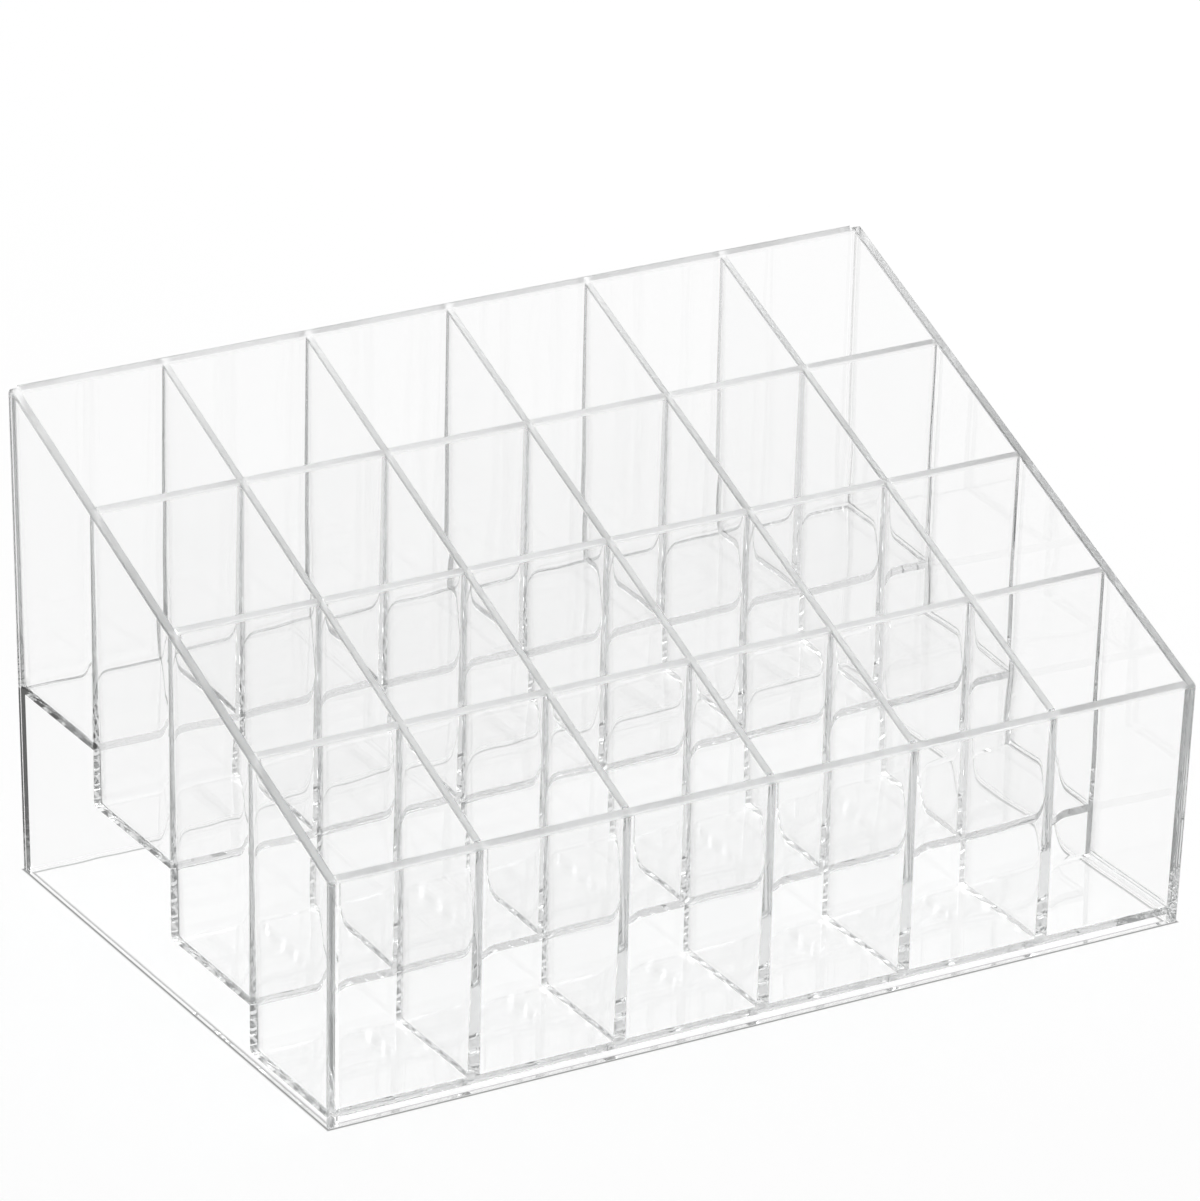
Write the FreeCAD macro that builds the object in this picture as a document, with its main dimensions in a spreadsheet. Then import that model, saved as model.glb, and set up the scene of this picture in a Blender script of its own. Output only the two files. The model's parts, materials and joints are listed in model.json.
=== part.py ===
"""Clear stepped vanity organizer: six columns by four tiers of square cells.

Thin clear panels make the whole piece. Two sloped end walls carry a front wall, a back wall and three
risers. A floor lies in each tier, and five dividers with stepped feet drop over the risers in half-laps.
Every joint is a cemented face with a thin film between the two panels. The four outer walls lean outward a
little from the base, and the tops of all panels lie on one slope. Risers and dividers are thinnest at that
slope and thicken towards their feet, so each half-lap is housed: the slot in the riser has straight sides,
and it seats in shallow grooves in the divider.

Frame: millimetres, +Z up, front at -Y, origin under the middle of the outer box, on the base.
Outlines are drawn from the middle plane across, from the front rim in depth, and from the base in height.
"""

import FreeCAD
import Part
import Sketcher
import os

COLUMNS = 6
TIERS = 4
RISERS = TIERS - 1
DIVIDERS = COLUMNS - 1

# Driving sizes in millimetres. A pitch lies between the middle planes of two neighbours. The columns and
# tiers beside an outer wall run to its inner face at the base. A tier's height is that of its floor's
# underside above the base.
SIZES = {
    "column_pitch": 26.6,
    "end_column_width": 24.8,
    "tier_pitch": 26.7,
    "front_tier_depth": 24.2,
    "back_tier_depth": 25.1,
    "end_wall_thickness": 1.6,
    "long_wall_thickness": 1.6,
    "riser_rim_thickness": 1.3,
    "divider_rim_thickness": 1.25,
    "housing_depth": 0.1,
    "floor_thickness": 1.4,
    "front_height": 42.9,
    "back_height": 86.2,
    "tier_1_height": 1.2,
    "tier_2_height": 9.6,
    "tier_3_height": 22.1,
    "tier_4_height": 32.1,
    "bond_gap": 0.05,
    "cut_overrun": 1.0,
}

# The lean of an outer wall is a share of the height. The draft of one side of a riser or divider is a share
# of the distance below the slope. A rounding is a share of the panel's thickness, and the lap is a share of
# the height in which two panels cross.
SHARES = {
    "lean_share": 0.0175,
    "draft_share": 0.011,
    "edge_round_share": 0.2,
    "corner_round_share": 0.5,
    "foot_round_share": 0.85,
    "lap_share": 0.5,
}

# Two coordinates closer than this are taken as one.
SAME = 1e-6

# A sketch's origin, by curve and point index, and how a corner lines up with it where a distance is zero.
ORIGIN_INDEX = (-1, 1)
LINED_UP = {"DistanceX": "Vertical", "DistanceY": "Horizontal"}

doc = FreeCAD.newDocument("stepped_organizer")
sheet = doc.addObject("Spreadsheet::Sheet", "sizes")
for row, (name, value) in enumerate({**SIZES, **SHARES}.items(), start=1):
    sheet.set(f"A{row}", name)
    sheet.set(f"B{row}", str(value))
    sheet.setAlias(f"B{row}", name)
doc.recompute()

# Overall sizes, worked out from the cells, the panels between them and the lean.
BASE_WIDTH = (
    f"(2 * (sizes.end_wall_thickness + sizes.end_column_width) + {COLUMNS - 2} * sizes.column_pitch)"
)
BASE_DEPTH = (
    "(2 * sizes.long_wall_thickness + sizes.front_tier_depth + sizes.back_tier_depth"
    f" + {TIERS - 2} * sizes.tier_pitch)"
)
WIDTH = f"({BASE_WIDTH} + 2 * sizes.lean_share * sizes.back_height)"
DEPTH = f"({BASE_DEPTH} + sizes.lean_share * (sizes.front_height + sizes.back_height))"
BASE_START = "(sizes.lean_share * sizes.front_height)"
SLOPE = f"((sizes.back_height - sizes.front_height) / {DEPTH})"

# Inner panels end one bond gap clear of the front and back walls.
WALL_OFFSET = "(sizes.long_wall_thickness + sizes.bond_gap)"

# Cuts run past the panels at the base and above the highest rim.
CUT_LOW = "(-sizes.cut_overrun)"
CUT_HIGH = "(sizes.back_height + sizes.cut_overrun)"


def top_at(depth):
    """Height of the sloped top, which all panels share, at a depth behind the front rim."""
    return f"(sizes.front_height + {SLOPE} * {depth})"


def half_width(height):
    """Distance of the outer face of an end wall from the middle plane."""
    return f"({BASE_WIDTH} / 2 + sizes.lean_share * {height})"


def behind_front(height, offset):
    """Depth of a line that lies an offset behind the front wall's outer face."""
    return f"(sizes.lean_share * (sizes.front_height - {height}) + {offset})"


def before_back(height, offset):
    """Depth of a line that lies an offset before the back wall's outer face."""
    return f"({DEPTH} - sizes.lean_share * (sizes.back_height - {height}) - {offset})"


def front_rim(offset):
    """The point where the line an offset behind the front wall's outer face meets the slope."""
    height = f"(sizes.front_height + {SLOPE} * {offset} / (1 + {SLOPE} * sizes.lean_share))"
    return behind_front(height, offset), height


def back_rim(offset):
    """The point where the line an offset before the back wall's outer face meets the slope."""
    height = f"(sizes.back_height - {SLOPE} * {offset} / (1 - {SLOPE} * sizes.lean_share))"
    return before_back(height, offset), height


def riser_middle(number):
    """Depth of a riser's middle plane. Riser 1 is the nearest to the front."""
    tier_1 = f"{BASE_START} + sizes.long_wall_thickness + sizes.front_tier_depth"
    return f"({tier_1} + {number - 1} * sizes.tier_pitch)"


def riser_face(number, height, side):
    """Depth of a riser's front face (side -1) or back face (side 1) at a height."""
    below = f"({top_at(riser_middle(number))} - {height})"
    reach = f"(sizes.riser_rim_thickness / 2 + sizes.draft_share * {below})"
    return f"({riser_middle(number)} + {side} * {reach})"


def riser_rim(number, side):
    """The point where a riser's front or back face meets the slope."""
    reach = f"(sizes.riser_rim_thickness / 2 / (1 + {side} * {SLOPE} * sizes.draft_share))"
    depth = f"({riser_middle(number)} + {side} * {reach})"
    return depth, top_at(depth)


def floor_under(tier):
    """Height of a tier floor's underside. Tier 1 is the lowest, at the front."""
    return f"sizes.tier_{tier}_height"


def floor_top(tier):
    """Height of a tier floor's upper face."""
    return f"({floor_under(tier)} + sizes.floor_thickness)"


def lap_height(number):
    """Height at which a riser's slots end and the dividers' slots over that riser begin."""
    low = floor_top(number + 1)
    high = top_at(riser_middle(number))
    return f"({low} + sizes.lap_share * ({high} - {low}))"


def divider_middle(number):
    """Place of a divider's middle plane across the organizer. Divider 1 is the leftmost."""
    column_1 = f"sizes.end_wall_thickness + sizes.end_column_width - {BASE_WIDTH} / 2"
    return f"({column_1} + {number - 1} * sizes.column_pitch)"


# Half of what is left of a divider's thickness between two housings.
WAIST_REACH = "(sizes.divider_rim_thickness / 2 - sizes.housing_depth)"


def origin_feature(body, role):
    """A body's own origin plane or axis, found by its role."""
    return next(feature for feature in body.Origin.OriginFeatures if feature.Role == role)


def hold_corner(sketch, line, kind, expression):
    """Hold one coordinate of a line's start: in line with the origin, or at its expression."""
    if expression == "0":
        sketch.addConstraint(Sketcher.Constraint(LINED_UP[kind], *ORIGIN_INDEX, line, 1))
        return
    value = sheet.evalExpression(expression)
    index = sketch.addConstraint(Sketcher.Constraint(kind, *ORIGIN_INDEX, line, 1, value))
    sketch.setExpression(f"Constraints[{index}]", expression)


def draw_loop(sketch, points):
    """Add a closed outline of straight lines, with every corner held."""
    first = sketch.GeometryCount
    corners = [FreeCAD.Vector(sheet.evalExpression(x), sheet.evalExpression(y), 0) for x, y in points]
    for start, end in zip(corners, corners[1:] + corners[:1]):
        sketch.addGeometry(Part.LineSegment(start, end), False)
    for index, (x, y) in enumerate(points):
        line, following = first + index, first + (index + 1) % len(points)
        sketch.addConstraint(Sketcher.Constraint("Coincident", line, 2, following, 1))
        hold_corner(sketch, line, "DistanceX", x)
        hold_corner(sketch, line, "DistanceY", y)


def draw(body, name, plane, *loops):
    """A sketch of closed outlines on one of the body's origin planes."""
    sketch = body.newObject("Sketcher::SketchObject", f"{body.Name}_{name}")
    sketch.AttachmentSupport = [(origin_feature(body, plane), "")]
    sketch.MapMode = "FlatFace"
    for points in loops:
        draw_loop(sketch, points)
    return sketch


def pad_panel(label, side_outline, width):
    """A panel padded both ways across the organizer from its outline seen from the side."""
    body = doc.addObject("PartDesign::Body", label)
    body.Label = label
    body.setExpression("Placement.Base.y", f"-{DEPTH} / 2")
    pad = body.newObject("PartDesign::Pad", f"{label}_pad")
    pad.Profile = draw(body, "side", "YZ_Plane", side_outline)
    pad.SideType = "Symmetric"
    pad.setExpression("Length", width)
    doc.recompute()
    return body


def pocket(body, name, sketch, side_type, is_reversed=False):
    """Cut right through a panel, and make sure that something was cut."""
    whole = body.Tip.Shape.Volume
    cut = body.newObject("PartDesign::Pocket", f"{body.Name}_{name}")
    cut.Profile = sketch
    cut.Type = "ThroughAll"
    cut.SideType = side_type
    cut.Reversed = is_reversed
    doc.recompute()
    if cut.Shape.Volume >= whole:
        raise RuntimeError(f"{cut.Name} cuts nothing")
    return cut


def pocket_from_front(body, name, *loops):
    """Cut right through a panel, both ways from front to back."""
    return pocket(body, name, draw(body, f"{name}_outline", "XZ_Plane", *loops), "Symmetric")


def trim(body, front_outline):
    """Cut away what lies outside an outline seen from the front."""
    side = f"({WIDTH} / 2 + 2 * sizes.cut_overrun)"
    low, high = f"(2 * {CUT_LOW})", f"({CUT_HIGH} + sizes.cut_overrun)"
    around = [(f"-{side}", low), (side, low), (side, high), (f"-{side}", high)]
    pocket_from_front(body, "trim", around, front_outline)


def trim_between_ends(body):
    """Cut a panel's ends to the lean of the end walls, one bond gap clear of them."""
    inset = "(sizes.end_wall_thickness + sizes.bond_gap)"
    low, high = f"({half_width(CUT_LOW)} - {inset})", f"({half_width(CUT_HIGH)} - {inset})"
    trim(body, [(f"-{low}", CUT_LOW), (low, CUT_LOW), (high, CUT_HIGH), (f"-{high}", CUT_HIGH)])


def is_along_x(edge):
    """True for an edge that runs straight across the organizer."""
    start, end = edge.Vertexes[0], edge.Vertexes[-1]
    return abs(start.Y - end.Y) < SAME and abs(start.Z - end.Z) < SAME


def is_on_slope(edge):
    """True for an edge whose ends both lie on the sloped top."""
    return all(abs(v.Z - sheet.evalExpression(top_at(v.Y))) < SAME for v in edge.Vertexes)


def is_on_base(edge):
    """True for an edge of the rim that the organizer stands on."""
    return all(abs(v.Z) < SAME for v in edge.Vertexes)


def round_edges(body, name, wanted, share, thickness):
    """Round those edges of the body that a test accepts, by a share of the panel's thickness."""
    base = body.Tip
    edges = [f"Edge{i}" for i, edge in enumerate(base.Shape.Edges, start=1) if wanted(edge)]
    fillet = body.newObject("PartDesign::Fillet", f"{body.Name}_{name}")
    fillet.Base = (base, edges)
    fillet.setExpression("Radius", f"sizes.{share} * sizes.{thickness}")
    doc.recompute()


def round_top(body, thickness):
    """Polish the top edge of a panel that runs across the organizer."""
    def is_top(edge):
        return is_along_x(edge) and is_on_slope(edge)

    round_edges(body, "top", is_top, "edge_round_share", thickness)


def make_end_wall(label, side):
    """A leaning end wall: rounded upper corners and a polished rim, square where it stands."""
    base_end = f"({BASE_START} + {BASE_DEPTH})"
    foot = [(BASE_START, "0"), (base_end, "0")]
    top = [(DEPTH, "sizes.back_height"), ("0", "sizes.front_height")]
    body = pad_panel(label, foot + top, f"({WIDTH} + 2 * sizes.cut_overrun)")
    outer_line = [(f"({side} * {half_width(height)})", height) for height in (CUT_LOW, CUT_HIGH)]
    inner_line = [
        (f"({side} * ({half_width(height)} - sizes.end_wall_thickness))", height)
        for height in (CUT_HIGH, CUT_LOW)
    ]
    trim(body, outer_line + inner_line)
    thickness = "end_wall_thickness"

    def is_upper_corner(edge):
        return is_along_x(edge) and is_on_slope(edge)

    def is_rim(edge):
        return not is_along_x(edge) and not is_on_base(edge)

    round_edges(body, "corners", is_upper_corner, "corner_round_share", thickness)
    round_edges(body, "rim", is_rim, "edge_round_share", thickness)


def make_front_wall():
    """The front wall, between the end walls, with its top cut to the slope."""
    thickness = "sizes.long_wall_thickness"
    foot = [(BASE_START, "0"), (behind_front("0", thickness), "0")]
    body = pad_panel("front_wall", foot + [front_rim(thickness), ("0", "sizes.front_height")], WIDTH)
    trim_between_ends(body)
    round_top(body, "long_wall_thickness")


def make_back_wall():
    """The back wall, between the end walls, with its top cut to the slope."""
    thickness = "sizes.long_wall_thickness"
    foot = [(before_back("0", thickness), "0"), (before_back("0", "0"), "0")]
    body = pad_panel("back_wall", foot + [(DEPTH, "sizes.back_height"), back_rim(thickness)], WIDTH)
    trim_between_ends(body)
    round_top(body, "long_wall_thickness")


def make_riser(number):
    """A riser: the back of one tier below, the front of the next above, slotted for the dividers."""
    foot = floor_under(number)
    near, far = riser_face(number, foot, -1), riser_face(number, foot, 1)
    foot_value, far_value = sheet.evalExpression(foot), sheet.evalExpression(far)
    outline = [(near, foot), (far, foot), riser_rim(number, 1), riser_rim(number, -1)]
    body = pad_panel(f"riser_{number}", outline, WIDTH)
    trim_between_ends(body)

    def is_foot(edge):
        vertex = edge.Vertexes[0]
        return is_along_x(edge) and abs(vertex.Z - foot_value) < SAME and abs(vertex.Y - far_value) < SAME

    round_edges(body, "foot", is_foot, "foot_round_share", "riser_rim_thickness")
    round_top(body, "riser_rim_thickness")
    cut_slots(body, lap_height(number))


def cut_slots(body, low):
    """Cut one slot from a riser's top down to the lap, and repeat it for every divider."""
    left = f"({divider_middle(1)} - {WAIST_REACH} - sizes.bond_gap)"
    right = f"({divider_middle(1)} + {WAIST_REACH} + sizes.bond_gap)"
    outline = [(left, low), (right, low), (right, CUT_HIGH), (left, CUT_HIGH)]
    slot = pocket_from_front(body, "slot", outline)
    slots = body.newObject("PartDesign::LinearPattern", f"{body.Name}_slots")
    slots.Originals = [slot]
    slots.Direction = (origin_feature(body, "X_Axis"), [""])
    slots.Mode = "Spacing"
    slots.Occurrences = DIVIDERS
    slots.setExpression("Offset", "sizes.column_pitch")
    body.Tip = slots
    doc.recompute()


def tier_start(tier, height):
    """Depth at which a tier's inner panels start, behind the front wall or a riser."""
    if tier == 1:
        return behind_front(height, WALL_OFFSET)
    return f"({riser_face(tier - 1, height, 1)} + sizes.bond_gap)"


def tier_end(tier, height):
    """Depth at which a tier's inner panels end, before a riser or the back wall."""
    if tier == TIERS:
        return before_back(height, WALL_OFFSET)
    return f"({riser_face(tier, height, -1)} - sizes.bond_gap)"


def make_floor(tier):
    """A tier's floor, between the faces that close the tier in front and behind."""
    low, high = floor_under(tier), floor_top(tier)
    underside = [(tier_start(tier, low), low), (tier_end(tier, low), low)]
    upper_face = [(tier_end(tier, high), high), (tier_start(tier, high), high)]
    trim_between_ends(pad_panel(f"tier_floor_{tier}", underside + upper_face, WIDTH))


def divider_roof(riser):
    """Height of the closed end of a divider's slot over a riser."""
    return f"({lap_height(riser)} + sizes.bond_gap)"


def make_divider(number):
    """A divider: a foot on each tier's floor, a slot over each riser, drafted sides and the sloped top."""
    outline = []
    for tier in range(1, TIERS + 1):
        foot = f"({floor_top(tier)} + sizes.bond_gap)"
        if tier > 1:
            roof = divider_roof(tier - 1)
            outline += [(tier_end(tier - 1, roof), roof), (tier_start(tier, roof), roof)]
        outline += [(tier_start(tier, foot), foot), (tier_end(tier, foot), foot)]
    outline += [back_rim(WALL_OFFSET), front_rim(WALL_OFFSET)]
    body = pad_panel(f"divider_{number}", outline, "sizes.divider_rim_thickness")
    body.setExpression("Placement.Base.x", divider_middle(number))
    doc.recompute()
    draft_sides(body)

    def is_top(edge):
        return is_on_slope(edge) and not is_along_x(edge)

    round_edges(body, "top", is_top, "edge_round_share", "divider_rim_thickness")
    for side in (-1, 1):
        cut_housings(body, side)


def draft_sides(body):
    """Tilt a divider's two sides about the slope, so that it thickens towards its feet."""
    base = body.Tip
    faces = list(enumerate(base.Shape.Faces, start=1))
    sides = [f"Face{i}" for i, face in faces if abs(abs(face.normalAt(0, 0).x) - 1) < SAME]
    top = [f"Face{i}" for i, face in faces if all(is_on_slope(edge) for edge in face.Edges)]
    draft = body.newObject("PartDesign::Draft", f"{body.Name}_draft")
    draft.Base = (base, sides)
    draft.NeutralPlane = (base, top)
    draft.Reversed = True
    doc.recompute()
    draft.setExpression("Angle", f"atan(sizes.draft_share * sqrt(1 + {SLOPE} ^ 2))")
    doc.recompute()
    box = draft.Shape.BoundBox
    if box.XLength <= base.Shape.BoundBox.XLength or abs(box.XMin + box.XMax) > SAME:
        raise RuntimeError(f"{draft.Name} does not thicken the divider evenly")


def cut_housings(body, side):
    """Cut one side's grooves, in which the edges of the risers' slots seat above the laps."""
    loops = []
    for riser in range(1, RISERS + 1):
        low, high = divider_roof(riser), CUT_HIGH
        loops.append([
            (tier_end(riser, low), low), (tier_start(riser + 1, low), low),
            (tier_start(riser + 1, high), high), (tier_end(riser, high), high),
        ])
    name = "right_housings" if side > 0 else "left_housings"
    sketch = draw(body, f"{name}_outline", "YZ_Plane", *loops)
    sketch.setExpression("AttachmentOffset.Base.z", f"{side} * {WAIST_REACH}")
    doc.recompute()
    pocket(body, name, sketch, "One side", is_reversed=side > 0)


make_end_wall("left_end_wall", -1)
make_end_wall("right_end_wall", 1)
make_front_wall()
make_back_wall()
for riser_number in range(1, RISERS + 1):
    make_riser(riser_number)
for tier_number in range(1, TIERS + 1):
    make_floor(tier_number)
for divider_number in range(1, DIVIDERS + 1):
    make_divider(divider_number)
doc.recompute()

panels = [item for item in doc.Objects if item.TypeId == "PartDesign::Body"]
for item in doc.Objects:
    if {"Invalid", "Error"} & set(item.State):
        raise RuntimeError(f"{item.Name} failed: {item.State}")
for panel in panels:
    if panel.Shape.isNull() or not panel.Shape.isValid() or len(panel.Shape.Solids) != 1:
        raise RuntimeError(f"{panel.Label} is not one valid solid")

os.makedirs("parts", exist_ok=True)
for panel in panels:
    panel.Shape.exportStep(f"parts/{panel.Label}.step")
    print(f"{panel.Label}: {panel.Shape.Volume:.1f} mm3")
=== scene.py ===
# %% [markdown]
# # A clear stepped organizer
# The real object is a tray of thin clear walls: six columns and four tiers of square cells that rise like
# stairs to the back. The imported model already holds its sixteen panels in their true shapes, so this lesson
# keeps every panel and spends its effort on what clear plastic does with light. Remodelling the panels here
# would only put a second shape beside the first one.

# %% Load the panels
import json
import math

import bpy
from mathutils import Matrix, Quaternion, Vector

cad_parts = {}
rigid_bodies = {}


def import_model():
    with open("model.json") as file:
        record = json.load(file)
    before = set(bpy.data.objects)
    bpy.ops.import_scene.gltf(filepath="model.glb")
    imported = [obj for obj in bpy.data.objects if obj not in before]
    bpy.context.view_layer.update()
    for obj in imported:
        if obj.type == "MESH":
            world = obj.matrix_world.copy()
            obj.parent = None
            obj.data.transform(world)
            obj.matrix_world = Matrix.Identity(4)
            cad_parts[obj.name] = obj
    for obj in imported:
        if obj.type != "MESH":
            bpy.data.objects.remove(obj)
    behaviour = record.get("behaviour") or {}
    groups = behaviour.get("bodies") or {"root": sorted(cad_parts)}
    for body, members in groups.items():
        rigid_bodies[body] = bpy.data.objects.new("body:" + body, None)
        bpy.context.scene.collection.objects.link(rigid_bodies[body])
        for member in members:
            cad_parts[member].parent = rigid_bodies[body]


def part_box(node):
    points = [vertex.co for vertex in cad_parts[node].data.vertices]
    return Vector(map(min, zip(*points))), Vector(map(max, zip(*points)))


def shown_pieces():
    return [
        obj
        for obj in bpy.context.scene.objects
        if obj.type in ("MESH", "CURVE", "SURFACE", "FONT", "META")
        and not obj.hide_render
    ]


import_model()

scene = bpy.context.scene
scene.view_settings.view_transform = "Standard"
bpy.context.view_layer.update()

# %% [markdown]
# ## Camera
# The picture to match was taken from the front left, a little above, with a long lens, so the edges hardly
# converge. A camera can be placed by eye, but the corners of a box give its place exactly: the values below
# come from fitting a pinhole camera to the corners of the rims. `to_track_quat` aims it, and a small turn
# about its own axis gives the tilt of the picture.

# %% Place the camera
CAMERA_PLACE = Vector((-0.614975, -1.028033, 0.578363))
CAMERA_AIM = Vector((-0.0006, 0.0004, 0.05295))
CAMERA_TILT = math.radians(1.40)
CAMERA_LENS = 240.73

camera = bpy.data.objects.new("camera", bpy.data.cameras.new("camera"))
scene.collection.objects.link(camera)
camera.data.lens = CAMERA_LENS
camera.location = CAMERA_PLACE
camera.rotation_mode = "QUATERNION"
aim = (CAMERA_AIM - CAMERA_PLACE).to_track_quat("-Z", "Y")
camera.rotation_quaternion = aim @ Quaternion((0, 0, 1), CAMERA_TILT)
scene.camera = camera
print("camera distance in m:", round((CAMERA_AIM - CAMERA_PLACE).length, 3))

# %% [markdown]
# ## Light paths
# Looking through the tray, a ray crosses up to ten panels, two faces each, and in an edge it may be thrown
# back and forth dozens of times before it leaves. Blender's usual limit of twelve bounces would turn those
# rays black, and the rims and edges with them, so the limits go up until the plastic itself decides how much
# light is left. Nothing else about rendering is set here.

# %% Allow long light paths
PATH_BOUNCES = 64

scene.cycles.max_bounces = PATH_BOUNCES
scene.cycles.transmission_bounces = PATH_BOUNCES
scene.cycles.glossy_bounces = PATH_BOUNCES
scene.cycles.transparent_max_bounces = 2 * PATH_BOUNCES
print("bounces:", PATH_BOUNCES)

# %% [markdown]
# ## Node helpers
# Every finish below is worked out from where a point lies on the tray, so it is shared by all panels and
# lives in node groups. A group is a small machine with named sockets. It could be drawn by hand in the
# editor, but two helpers say the same in a line: one starts a group, and one puts a finished group into
# another tree.

# %% Helpers for node groups
def start_group(name, inputs, outputs, vectors=()):
    tree = bpy.data.node_groups.new(name, "ShaderNodeTree")
    for socket, default in inputs.items():
        item = tree.interface.new_socket(name=socket, in_out="INPUT", socket_type="NodeSocketFloat")
        item.default_value = default
    for socket in outputs:
        tree.interface.new_socket(name=socket, in_out="OUTPUT", socket_type="NodeSocketFloat")
    for socket in vectors:
        tree.interface.new_socket(name=socket, in_out="OUTPUT", socket_type="NodeSocketVector")
    return tree, tree.nodes.new("NodeGroupInput").outputs, tree.nodes.new("NodeGroupOutput").inputs


def add_group(tree, group):
    node = tree.nodes.new("ShaderNodeGroup")
    node.node_tree = group
    return node


print("group helpers ready")

# %% [markdown]
# Shader maths is many small nodes. The next helpers add a maths node, feed it with sockets or plain numbers,
# and return its result, so that steps can be nested like a formula.

# %% Helpers for maths
def add_maths(tree, node_type, operation, values):
    node = tree.nodes.new(node_type)
    node.operation = operation
    for socket, value in zip(node.inputs, values):
        if isinstance(value, bpy.types.NodeSocket):
            tree.links.new(value, socket)
        else:
            socket.default_value = value
    return node


def calc(tree, operation, *values):
    return add_maths(tree, "ShaderNodeMath", operation, values).outputs[0]


def calc_vector(tree, operation, *values):
    return add_maths(tree, "ShaderNodeVectorMath", operation, values).outputs["Vector"]


def all_of(tree, *tests):
    result = tests[0]
    for test in tests[1:]:
        result = calc(tree, "MULTIPLY", result, test)
    return result


def fade(tree, value, start, end, low, high):
    node = tree.nodes.new("ShaderNodeMapRange")
    limits = {"From Min": start, "From Max": end, "To Min": low, "To Max": high}
    for name, limit in limits.items():
        node.inputs[name].default_value = limit
    tree.links.new(value, node.inputs["Value"])
    return node.outputs["Result"]


print("maths helpers ready")

# %% [markdown]
# ## Where the panels meet
# On the real tray the walls run into each other without a break, so light passes from one wall into the next
# and travels along inside it. That is why the edges look grey: the light has come a long way through the
# plastic. The panels of the model lie a hair apart, and two bare faces with air between them would mirror
# that light instead. The cure is a mask that makes a face vanish where it is joined to a neighbour. It is
# worked out from the position alone, in millimetres, so the meshes stay as they are.

# %% Sizes of the joints, in millimetres
MM = 1000
COLUMNS, TIERS = 6, 4
COLUMN_PITCH, TIER_PITCH = 26.6, 26.7
DIVIDER_HALF, RISER_HALF, FLOOR_HALF = 0.625, 0.65, 0.7
DRAFT, LEAN = 0.011, 0.0175
FRONT_HEIGHT, RIM_SLOPE = 42.9, 0.4003

front_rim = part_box("front_wall")[0].y * MM
left_wall_inner = -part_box("left_end_wall")[1].x * MM
front_wall_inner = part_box("front_wall")[1].y * MM
back_wall_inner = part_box("back_wall")[0].y * MM
floor_boxes = [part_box(f"tier_floor_{tier}") for tier in range(1, TIERS + 1)]
floor_tops = [high.z * MM for low, high in floor_boxes]
riser_middles = [(front[1].y + back[0].y) / 2 * MM for front, back in zip(floor_boxes, floor_boxes[1:])]
print("floor tops:", [round(top, 2) for top in floor_tops])
print("riser middles:", [round(middle, 2) for middle in riser_middles])

# %% [markdown]
# The group below answers one question for any point: where on the tray is it? It measures how far the point
# lies from the nearest divider, riser, floor and outer wall. `PINGPONG` folds a coordinate, so that all five
# dividers are one divider. Beyond the last divider the fold would invent another one, so one pitch is added
# there. The floors form a stair, which is a sum of steps. A riser stands on the lower of the two floors
# beside it, so the stair of its foot starts a little further back.

# %% Heights on the tray
RISER_FOOT_SHIFT = 2.5


def stair_height(tree, depth, shift):
    height = floor_tops[0]
    for middle, low, high in zip(riser_middles, floor_tops, floor_tops[1:]):
        is_past = calc(tree, "GREATER_THAN", depth, middle + shift)
        height = calc(tree, "MULTIPLY_ADD", is_past, high - low, height)
    return height


def distance_to_fold(tree, position, pitch, count, half):
    folded = calc(tree, "SUBTRACT", calc(tree, "PINGPONG", position, pitch / 2), half)
    is_past_last = calc(tree, "GREATER_THAN", position, (count - 1) / 2 * pitch)
    return calc(tree, "MULTIPLY_ADD", is_past_last, pitch, folded)


print("steps in mm:", [round(high - low, 2) for low, high in zip(floor_tops, floor_tops[1:])])

# %% [markdown]
# With these two, the group itself is a table of results. The panels thicken downwards by their draft, and the
# outer walls lean, so both follow from the height of the point.

# %% Node group: place on the tray
def measure_place(tree, x, y, z):
    rim = calc(tree, "MULTIPLY_ADD", calc(tree, "SUBTRACT", y, front_rim), RIM_SLOPE, FRONT_HEIGHT)
    below_rim = calc(tree, "SUBTRACT", rim, z)
    divider_half = calc(tree, "MULTIPLY_ADD", below_rim, DRAFT, DIVIDER_HALF)
    riser_half = calc(tree, "MULTIPLY_ADD", below_rim, DRAFT, RISER_HALF)
    across = calc(tree, "ABSOLUTE", x)
    along = calc(tree, "ABSOLUTE", calc(tree, "SUBTRACT", y, riser_middles[1]))
    lean = calc(tree, "MULTIPLY", z, LEAN)
    return {
        "X": x,
        "Y": y,
        "Below Rim": below_rim,
        "To Divider": distance_to_fold(tree, across, COLUMN_PITCH, COLUMNS, divider_half),
        "To Riser": distance_to_fold(tree, along, TIER_PITCH, TIERS, riser_half),
        "Above Floor": calc(tree, "SUBTRACT", z, stair_height(tree, y, 0.0)),
        "Above Riser Foot": calc(tree, "SUBTRACT", z, stair_height(tree, y, RISER_FOOT_SHIFT)),
        "To Front": calc(tree, "ADD", calc(tree, "SUBTRACT", y, front_wall_inner), lean),
        "To Back": calc(tree, "SUBTRACT", calc(tree, "ADD", lean, back_wall_inner), y),
        "To End": calc(tree, "SUBTRACT", calc(tree, "ADD", lean, left_wall_inner), across),
    }


def build_place_group():
    names = ["X", "Y", "Below Rim", "To Divider", "To Riser", "Above Floor", "Above Riser Foot",
             "To Front", "To Back", "To End"]
    tree, _, out = start_group("Place on Tray", {}, names)
    where = tree.nodes.new("ShaderNodeTexCoord").outputs["Object"]
    split = tree.nodes.new("ShaderNodeSeparateXYZ")
    tree.links.new(calc_vector(tree, "MULTIPLY", where, (MM, MM, MM)), split.inputs[0])
    for name, socket in measure_place(tree, *split.outputs).items():
        tree.links.new(socket, out[name])
    return tree


place_group = build_place_group()
print(place_group.name, "nodes:", len(place_group.nodes))

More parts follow.
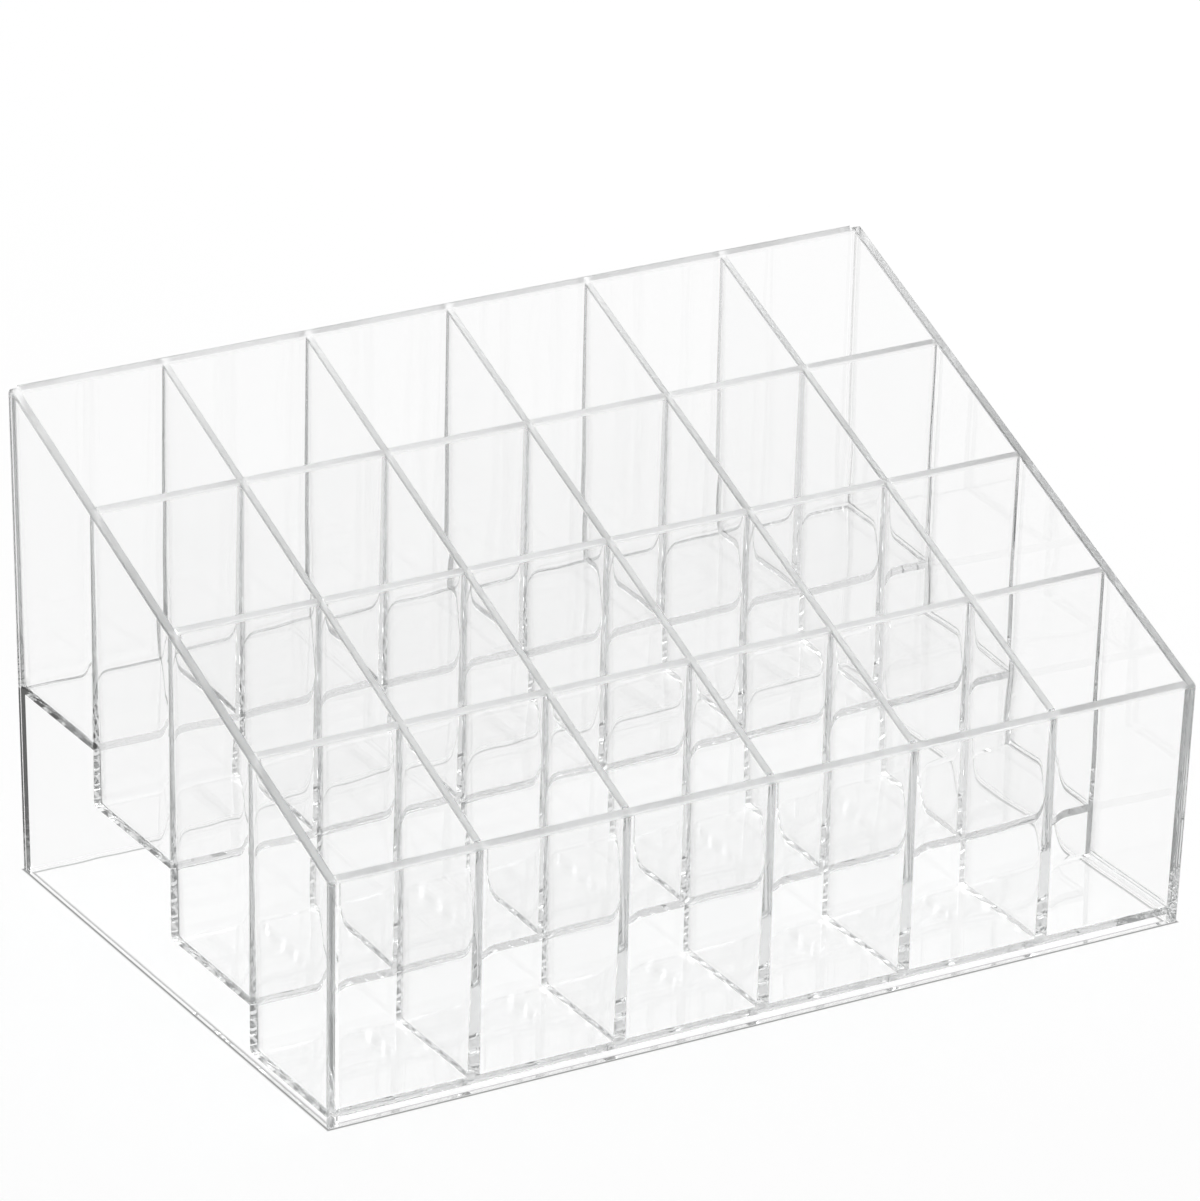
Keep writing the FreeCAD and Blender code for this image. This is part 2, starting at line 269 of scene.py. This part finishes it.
# %% [markdown]
# The second group turns those distances into the mask. Each kind of panel is joined to different neighbours,
# so every joint has its own input, 0 or 1, and the material of each panel switches on what it needs. The
# ends, sides and feet of a panel are told apart by the direction in which the face looks. The slacks allow
# for the film between two panels and are far smaller than any wall.

# %% Masks of the joints
WALL_SLACK, FLOOR_SLACK, FILM_SLACK = 0.2, 0.1, 0.03
RIM_MARGIN = 0.3
FACING_SIDE, FACING_DOWN = 0.9, 0.97


def joint_masks(tree, far, facing):
    def above(name, limit):
        return calc(tree, "GREATER_THAN", far[name], limit)

    def looks(axis, share):
        return calc(tree, "GREATER_THAN", calc(tree, "ABSOLUTE", facing[axis]), share)

    below_rim = above("Below Rim", RIM_MARGIN)
    between_ends = above("To End", -WALL_SLACK)
    inside = all_of(tree, between_ends, above("To Front", -WALL_SLACK), above("To Back", -WALL_SLACK))
    to_wall = calc(tree, "MINIMUM", far["To Front"], far["To Back"])
    at_divider = calc(tree, "LESS_THAN", far["To Divider"], 0.0)
    at_riser = calc(tree, "LESS_THAN", far["To Riser"], FILM_SLACK)
    at_floor = calc(tree, "COMPARE", far["Above Floor"], -FLOOR_HALF, FLOOR_HALF + FILM_SLACK)
    at_wall = calc(tree, "LESS_THAN", to_wall, 0.0)
    return {
        "Ends": looks("X", FACING_SIDE),
        "Sides": looks("Y", FACING_SIDE),
        "Feet": looks("Z", FACING_DOWN),
        "Dividers": all_of(tree, at_divider, above("Above Floor", -FLOOR_SLACK), below_rim, inside),
        "Risers": all_of(tree, at_riser, above("Above Riser Foot", -2 * FLOOR_HALF), below_rim, inside),
        "Floors": all_of(tree, at_floor, inside),
        "Walls": all_of(tree, at_wall, between_ends, below_rim),
    }


print("film slack in mm:", FILM_SLACK)

# %% [markdown]
# The mask goes into Alpha: 1 keeps a face, and 0 lets light through as if the face were not there, which is
# what a cemented joint does.

# %% Node group: joined faces
def build_joint_group():
    kinds = ["Ends", "Sides", "Feet", "Dividers", "Risers", "Floors", "Walls"]
    tree, switch, out = start_group("Joined Faces", dict.fromkeys(kinds, 0.0), ["Free Face"])
    far = add_group(tree, place_group).outputs
    facing = tree.nodes.new("ShaderNodeSeparateXYZ")
    tree.links.new(tree.nodes.new("ShaderNodeTexCoord").outputs["Normal"], facing.inputs[0])
    joined = 0.0
    for kind, mask in joint_masks(tree, far, facing.outputs).items():
        joined = calc(tree, "MAXIMUM", joined, calc(tree, "MULTIPLY", mask, switch[kind]))
    tree.links.new(calc(tree, "SUBTRACT", 1.0, joined), out["Free Face"])
    return tree


joint_group = build_joint_group()
print(joint_group.name, "nodes:", len(joint_group.nodes))

# %% [markdown]
# ## Ripple
# A moulded face is never quite flat, and the plastic is not equally clear throughout. One noise serves both:
# its colour has three channels, which tilt the surface a little in three directions and break up the straight
# reflections inside the walls, and its value varies the clearness by a hair.

# %% Node group: moulded ripple
RIPPLE_SCALE = 90.0
RIPPLE_TILT = 0.006
CLEARNESS_LOW, CLEARNESS_SPAN = 0.994, 0.006
NOISE_MIDDLE = 0.5


def build_ripple_group():
    tree, _, out = start_group("Moulded Ripple", {}, ["Clearness"], ["Tilt"])
    noise = tree.nodes.new("ShaderNodeTexNoise")
    noise.inputs["Scale"].default_value = RIPPLE_SCALE
    noise.inputs["Detail"].default_value = 0.0
    tree.links.new(tree.nodes.new("ShaderNodeTexCoord").outputs["Object"], noise.inputs["Vector"])
    clearness = calc(tree, "MULTIPLY_ADD", noise.outputs["Fac"], CLEARNESS_SPAN, CLEARNESS_LOW)
    tree.links.new(clearness, out["Clearness"])
    centred = calc_vector(tree, "SUBTRACT", noise.outputs["Color"], (NOISE_MIDDLE,) * 3)
    tree.links.new(calc_vector(tree, "MULTIPLY", centred, (RIPPLE_TILT,) * 3), out["Tilt"])
    return tree


ripple_group = build_ripple_group()
print(ripple_group.name, "scale:", RIPPLE_SCALE)

# %% [markdown]
# ## Rims
# The rims look trimmed, as at the parting line of a mould, so they are a little satin. A rough surface mixes
# the light that comes up through the wall, and the rim turns an even light grey, where a polished one would
# show streaks.

# %% Node group: satin rim
SATIN_WIDTH = 0.4
RIM_ROUGHNESS = 0.45


def build_rim_group():
    inputs = {"Polish": 0.0, "Satin": RIM_ROUGHNESS}
    tree, value, out = start_group("Satin Rim", inputs, ["Roughness"])
    far = add_group(tree, place_group).outputs
    is_rim = calc(tree, "LESS_THAN", far["Below Rim"], SATIN_WIDTH)
    rise = calc(tree, "SUBTRACT", value["Satin"], value["Polish"])
    tree.links.new(calc(tree, "MULTIPLY_ADD", is_rim, rise, value["Polish"]), out["Roughness"])
    return tree


rim_group = build_rim_group()
print(rim_group.name, "roughness:", RIM_ROUGHNESS)

# %% [markdown]
# ## Corners of the moulding
# In the real tray the walls swell a little where they meet, as every moulding does, and the swelling is wider
# near the foot than at the rim. It is about a tenth of a millimetre high, but it works like a lens: lines
# behind it curve upwards beside each junction. A Bump node could find the slope by comparing heights at
# neighbouring points, but on such thin rims that leaves specks. The slope of this swelling is known, so it is
# written down: steepest at the junction, and easing out to nothing.

# %% Slope of a swelling
SWELL_RIM, SWELL_GROWTH, SWELL_STEEPNESS = 1.6, 0.04, 0.08
FOOT_RADIUS, FOOT_STEEPNESS = 0.5, 0.3
FOOT_SLACK = 0.05


def swelling(tree, distance, radius, steepness):
    near = calc(tree, "DIVIDE", calc(tree, "MAXIMUM", distance, 0.0), radius)
    share = calc(tree, "MAXIMUM", calc(tree, "SUBTRACT", 1.0, near), 0.0)
    return calc(tree, "MULTIPLY", calc(tree, "MULTIPLY", share, share), steepness)


def side_of_fold(tree, position, pitch):
    wave = calc(tree, "SINE", calc(tree, "MULTIPLY", position, 2 * math.pi / pitch))
    return calc(tree, "SIGN", wave)


print("swelling in mm at the rim:", SWELL_RIM)

# %% [markdown]
# Each kind of neighbour tilts the normal along one axis, away from the junction. Again the material of a
# panel switches on the neighbours that it has.

# %% Tilt beside the junctions
def tilt_beside_junctions(tree, far, switch):
    reach = calc(tree, "MULTIPLY_ADD", far["Below Rim"], SWELL_GROWTH, SWELL_RIM)
    to_wall = calc(tree, "MINIMUM", far["To Front"], far["To Back"])
    from_middle = calc(tree, "SUBTRACT", far["Y"], riser_middles[1])
    is_above_floor = calc(tree, "GREATER_THAN", far["Above Floor"], -FOOT_SLACK)

    def tilt(kind, distance, side):
        slope = swelling(tree, distance, reach, SWELL_STEEPNESS)
        return all_of(tree, slope, side, switch[kind], is_above_floor)

    nearer_front = calc(tree, "SIGN", calc(tree, "SUBTRACT", far["To Back"], far["To Front"]))
    divider = tilt("Dividers", far["To Divider"], side_of_fold(tree, far["X"], COLUMN_PITCH))
    end = tilt("Ends", far["To End"], calc(tree, "SIGN", far["X"]))
    riser = tilt("Risers", far["To Riser"], side_of_fold(tree, from_middle, TIER_PITCH))
    wall = tilt("Walls", to_wall, nearer_front)
    foot = swelling(tree, far["Above Floor"], FOOT_RADIUS, FOOT_STEEPNESS)
    joined = tree.nodes.new("ShaderNodeCombineXYZ")
    tree.links.new(calc(tree, "SUBTRACT", divider, end), joined.inputs["X"])
    tree.links.new(calc(tree, "ADD", riser, wall), joined.inputs["Y"])
    tree.links.new(all_of(tree, foot, switch["Floors"], is_above_floor), joined.inputs["Z"])
    return joined.outputs["Vector"]


print("swelling in mm at the front foot:", round(SWELL_RIM + FRONT_HEIGHT * SWELL_GROWTH, 2))

# %% [markdown]
# The normal of the surface plus this tilt is the new normal. Seen from inside the plastic, Blender turns the
# normal round, so the tilt has to be turned round with it. Otherwise the two faces of a wall would lean the
# same way and cancel out, and no line would bend. The material says whether a ray is inside, with 0 or 1, and
# one minus twice that number gives the sign.

# %% Node group: corner fillets
def build_fillet_group():
    kinds = ["Dividers", "Risers", "Floors", "Walls", "Ends", "Inside"]
    tree, value, out = start_group("Corner Fillets", dict.fromkeys(kinds, 0.0), [], ["Normal"])
    far = add_group(tree, place_group).outputs
    ripple = add_group(tree, ripple_group).outputs["Tilt"]
    tilt = calc_vector(tree, "ADD", tilt_beside_junctions(tree, far, value), ripple)
    outward = calc(tree, "MULTIPLY_ADD", value["Inside"], -2.0, 1.0)
    surface = tree.nodes.new("ShaderNodeNewGeometry").outputs["Normal"]
    tilted = calc_vector(tree, "ADD", surface, calc_vector(tree, "MULTIPLY", tilt, outward))
    tree.links.new(calc_vector(tree, "NORMALIZE", tilted), out["Normal"])
    return tree


fillet_group = build_fillet_group()
print(fillet_group.name, "nodes:", len(fillet_group.nodes))

# %% [markdown]
# ## Clear plastic
# The plastic is a hard, clear moulding with a very faint grey body. A Principled shader with full
# transmission bends the light, and the groups above feed its Alpha, Roughness, Normal and Base Color. A
# Glass shader could bend light as well, but it has no Alpha for the joined faces.

# %% Surface of a panel
PLASTIC_INDEX = 1.49


def dress_surface(tree, joints, corners):
    shader = tree.nodes["Principled BSDF"]
    shader.inputs["IOR"].default_value = PLASTIC_INDEX
    shader.inputs["Transmission Weight"].default_value = 1.0
    faces = add_group(tree, joint_group)
    for kind in joints:
        faces.inputs[kind].default_value = 1.0
    fillets = add_group(tree, fillet_group)
    for kind in corners:
        fillets.inputs[kind].default_value = 1.0
    is_inside = tree.nodes.new("ShaderNodeNewGeometry").outputs["Backfacing"]
    tree.links.new(is_inside, fillets.inputs["Inside"])
    tree.links.new(faces.outputs["Free Face"], shader.inputs["Alpha"])
    tree.links.new(fillets.outputs["Normal"], shader.inputs["Normal"])
    tree.links.new(add_group(tree, rim_group).outputs["Roughness"], shader.inputs["Roughness"])
    tree.links.new(add_group(tree, ripple_group).outputs["Clearness"], shader.inputs["Base Color"])
    return shader


print("index of the plastic:", PLASTIC_INDEX)

# %% [markdown]
# Inside, a Volume Absorption takes a little light on the way: nothing that shows across a thin wall, but
# enough to turn an edge grey. Lamps have to reach through the panels, and Blender's shadow rays do not bend,
# so the material lets them straight through with a slight loss.

# %% Material of a panel
BODY_COLOR = (0.03, 0.05, 0.05, 1)
BODY_DENSITY = 10.0
SHADOW_LOSS = (0.97, 0.975, 0.975, 1)


def mix_shaders(tree, share, first, second, output):
    mix = tree.nodes.new("ShaderNodeMixShader")
    for value, socket in zip((share, first.outputs[0], second.outputs[0]), mix.inputs):
        tree.links.new(value, socket)
    tree.links.new(mix.outputs[0], output.inputs["Surface"])


def make_plastic(name, joints, corners):
    material = bpy.data.materials.new(name)
    material.use_nodes = True
    tree = material.node_tree
    output = tree.nodes["Material Output"]
    shader = dress_surface(tree, joints, corners)
    is_shadow = tree.nodes.new("ShaderNodeLightPath").outputs["Is Shadow Ray"]
    through = tree.nodes.new("ShaderNodeBsdfTransparent")
    through.inputs["Color"].default_value = SHADOW_LOSS
    mix_shaders(tree, is_shadow, shader, through, output)
    body = tree.nodes.new("ShaderNodeVolumeAbsorption")
    body.inputs["Color"].default_value = BODY_COLOR
    body.inputs["Density"].default_value = BODY_DENSITY
    tree.links.new(body.outputs[0], output.inputs["Volume"])
    return material


print("density of the body:", BODY_DENSITY)

# %% [markdown]
# Six kinds of panel need six switch settings: first the joints in which faces vanish, then the neighbours
# beside which the surface swells. The floors of the tiers stay flat, because a swelling seen edge on would
# draw a dark outline round each cell. The material goes into the slot of the object, so the mesh keeps its
# own.

# %% Dress the panels
LONG_NEIGHBOURS = ["Ends", "Dividers", "Floors"]
CROSS_NEIGHBOURS = ["Risers", "Floors", "Walls"]
PLASTICS = {
    "end_wall": make_plastic("clear_end_wall", CROSS_NEIGHBOURS, CROSS_NEIGHBOURS),
    "front_wall": make_plastic("clear_front_wall", LONG_NEIGHBOURS, LONG_NEIGHBOURS),
    "back_wall": make_plastic("clear_back_wall", LONG_NEIGHBOURS, LONG_NEIGHBOURS),
    "riser": make_plastic("clear_riser", LONG_NEIGHBOURS, LONG_NEIGHBOURS),
    "tier_floor": make_plastic("clear_floor", ["Ends", "Sides", "Dividers"], []),
    "divider": make_plastic("clear_divider", ["Sides", "Feet", "Risers"], CROSS_NEIGHBOURS),
}
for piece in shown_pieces():
    kind = next(kind for kind in PLASTICS if kind in piece.name)
    for slot in piece.material_slots:
        slot.link = "OBJECT"
        slot.material = PLASTICS[kind]
print("materials:", sorted(material.name for material in PLASTICS.values()))

# %% [markdown]
# ## Stage
# A clear object shows what is behind and around it, and the picture has a pure white ground. The floor is
# partly a lit white surface, which keeps the object's soft shadow, and partly a glow of strength 1, which is
# white. It lies a hair below the foot of the tray, because two faces in the same place would flicker. Where
# the walls stand, a painted shade darkens the floor's colour and glow in two thin lines, one outside the
# walls and one inside. Their place is read from the lowest points of the panels, so the floor fits the tray.

# %% Outline of the foot and its painted shade lines
FLOOR_DROP = 0.0002
FOOT_WIDTH = 0.0019
# Width and depth of the painted shade lines along the foot.
SHADE_LINE_WIDTH = 0.0004
OUTER_SHADE_DEPTH, INNER_SHADE_DEPTH = 0.8, 0.7

panel_points = [piece.matrix_world @ vertex.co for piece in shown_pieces() for vertex in piece.data.vertices]
foot_points = [point for point in panel_points if point.z < FLOOR_DROP]
foot_low = [min(point[axis] for point in foot_points) for axis in (0, 1)]
foot_high = [max(point[axis] for point in foot_points) for axis in (0, 1)]
foot_middle = [(low + high) / 2 for low, high in zip(foot_low, foot_high)]
foot_half = [(high - low) / 2 for low, high in zip(foot_low, foot_high)]
print("foot in mm:", [round(2 * half * MM, 2) for half in foot_half])


# Painted shade: the result is 1 on open floor and dips towards dark in two thin lines, at the outer and the
# inner edge of the foot.
def painted_contact_shade(tree, where):
    split = tree.nodes.new("ShaderNodeSeparateXYZ")
    tree.links.new(where, split.inputs[0])
    past = []
    for place, middle, half in zip(split.outputs, foot_middle, foot_half):
        from_middle = calc(tree, "ABSOLUTE", calc(tree, "SUBTRACT", place, middle))
        past.append(calc(tree, "SUBTRACT", from_middle, half))
    outside = calc(tree, "MAXIMUM", *past)
    to_inner_edge = calc(tree, "ABSOLUTE", calc(tree, "ADD", outside, FOOT_WIDTH))
    outer = fade(tree, calc(tree, "ABSOLUTE", outside), 0.0, SHADE_LINE_WIDTH, 1 - OUTER_SHADE_DEPTH, 1.0)
    inner = fade(tree, to_inner_edge, 0.0, SHADE_LINE_WIDTH, 1 - INNER_SHADE_DEPTH, 1.0)
    return calc(tree, "MINIMUM", outer, inner)


# %% [markdown]
# With the distance the glow takes over from the lit surface, so that the ground stays white to the horizon
# from every side. Light Path lets only rays that look at the floor see the glow, straight or by way of the
# clear walls, so it puts no light on the object.

# %% Material of the floor
FLOOR_WHITE = 0.8
GLOW_NEAR, GLOW_FAR = 0.85, 1.0
FADE_START, FADE_END = 0.2, 0.7


def add_looking_rays(tree):
    rays = tree.nodes.new("ShaderNodeLightPath").outputs
    through = calc(tree, "MAXIMUM", rays["Is Glossy Ray"], rays["Is Transmission Ray"])
    return rays["Is Camera Ray"], through


def make_floor_material():
    material = bpy.data.materials.new("white_sweep")
    material.use_nodes = True
    tree = material.node_tree
    shader = tree.nodes["Principled BSDF"]
    shader.inputs["Roughness"].default_value = 1.0
    shader.inputs["Specular IOR Level"].default_value = 0.0
    where = tree.nodes.new("ShaderNodeTexCoord").outputs["Object"]
    # The painted shade lines darken both the lit floor and its glow.
    contact_shade = painted_contact_shade(tree, where)
    tree.links.new(calc(tree, "MULTIPLY", contact_shade, FLOOR_WHITE), shader.inputs["Base Color"])
    glow = tree.nodes.new("ShaderNodeEmission")
    tree.links.new(contact_shade, glow.inputs["Color"])
    distance = add_maths(tree, "ShaderNodeVectorMath", "LENGTH", [where]).outputs["Value"]
    glow_share = fade(tree, distance, FADE_START, FADE_END, GLOW_NEAR, GLOW_FAR)
    is_looking = calc(tree, "MAXIMUM", *add_looking_rays(tree))
    share = calc(tree, "MULTIPLY", glow_share, is_looking)
    mix_shaders(tree, share, shader, glow, tree.nodes["Material Output"])
    return material


floor_material = make_floor_material()
print(floor_material.name, "nodes:", len(floor_material.node_tree.nodes))

# %% [markdown]
# The floor itself is one large square. A plane from the Add menu would do, but four corners and one face say
# the same without leaning on what is selected.

# %% Floor
FLOOR_REACH = 4.0

floor_mesh = bpy.data.meshes.new("studio_floor")
floor_corners = [(x * FLOOR_REACH, y * FLOOR_REACH, 0) for x, y in ((-1, -1), (1, -1), (1, 1), (-1, 1))]
floor_mesh.from_pydata(floor_corners, [], [(0, 1, 2, 3)])
floor_mesh.materials.append(floor_material)
studio_floor = bpy.data.objects.new("studio_floor", floor_mesh)
studio_floor.location.z = -FLOOR_DROP
scene.collection.objects.link(studio_floor)
print("floor laid", FLOOR_DROP * MM, "mm below the tray")

# %% [markdown]
# ## Room
# Around the stage is a white backdrop, and above it a room in plain grey. The tray is clear, so it mirrors
# both: the floors of the tiers look along the backdrop and stay white, and the rims look up into the room and
# turn light grey. The height of a direction tells the two apart. A picture of a studio could stand here too,
# but two plain tones are easier to steer.

# %% World
ROOM_GREY = (0.4, 0.4, 0.4, 1)
BACKDROP_WHITE = (1, 1, 1, 1)
BACKDROP_TOP, ROOM_START = 0.5, 0.65

world = bpy.data.worlds.new("studio")
scene.world = world
world.use_nodes = True
sky = world.node_tree
room = sky.nodes["Background"]
room.inputs["Color"].default_value = ROOM_GREY
backdrop = sky.nodes.new("ShaderNodeBackground")
backdrop.inputs["Color"].default_value = BACKDROP_WHITE
direction = sky.nodes.new("ShaderNodeSeparateXYZ")
sky.links.new(sky.nodes.new("ShaderNodeTexCoord").outputs["Generated"], direction.inputs[0])
is_low = fade(sky, direction.outputs["Z"], ROOM_START, BACKDROP_TOP, 0.0, 1.0)
straight, through = add_looking_rays(sky)
sees_backdrop = calc(sky, "MAXIMUM", straight, calc(sky, "MULTIPLY", through, is_low))
mix_shaders(sky, sees_backdrop, room, backdrop, sky.nodes["World Output"])
print("room grey:", ROOM_GREY[0])

# %% [markdown]
# ## Lamp
# One large soft lamp hangs where the sloped rims mirror it towards the camera, which gives them their even
# sheen. A small lamp would leave sharp glints and a hard shadow.

# %% Lamp
LAMP_PLACE = Vector((0.61, 0.38, 1.14))
LAMP_WIDTH = 1.0
LAMP_POWER = 18

lamp = bpy.data.lights.new("overhead_lamp", "AREA")
lamp.shape = "RECTANGLE"
lamp.size = lamp.size_y = LAMP_WIDTH
lamp.energy = LAMP_POWER
overhead_lamp = bpy.data.objects.new("overhead_lamp", lamp)
overhead_lamp.location = LAMP_PLACE
overhead_lamp.rotation_mode = "QUATERNION"
overhead_lamp.rotation_quaternion = (CAMERA_AIM - LAMP_PLACE).to_track_quat("-Z", "Y")
scene.collection.objects.link(overhead_lamp)
print("lamp height in m:", round(LAMP_PLACE.z, 2))
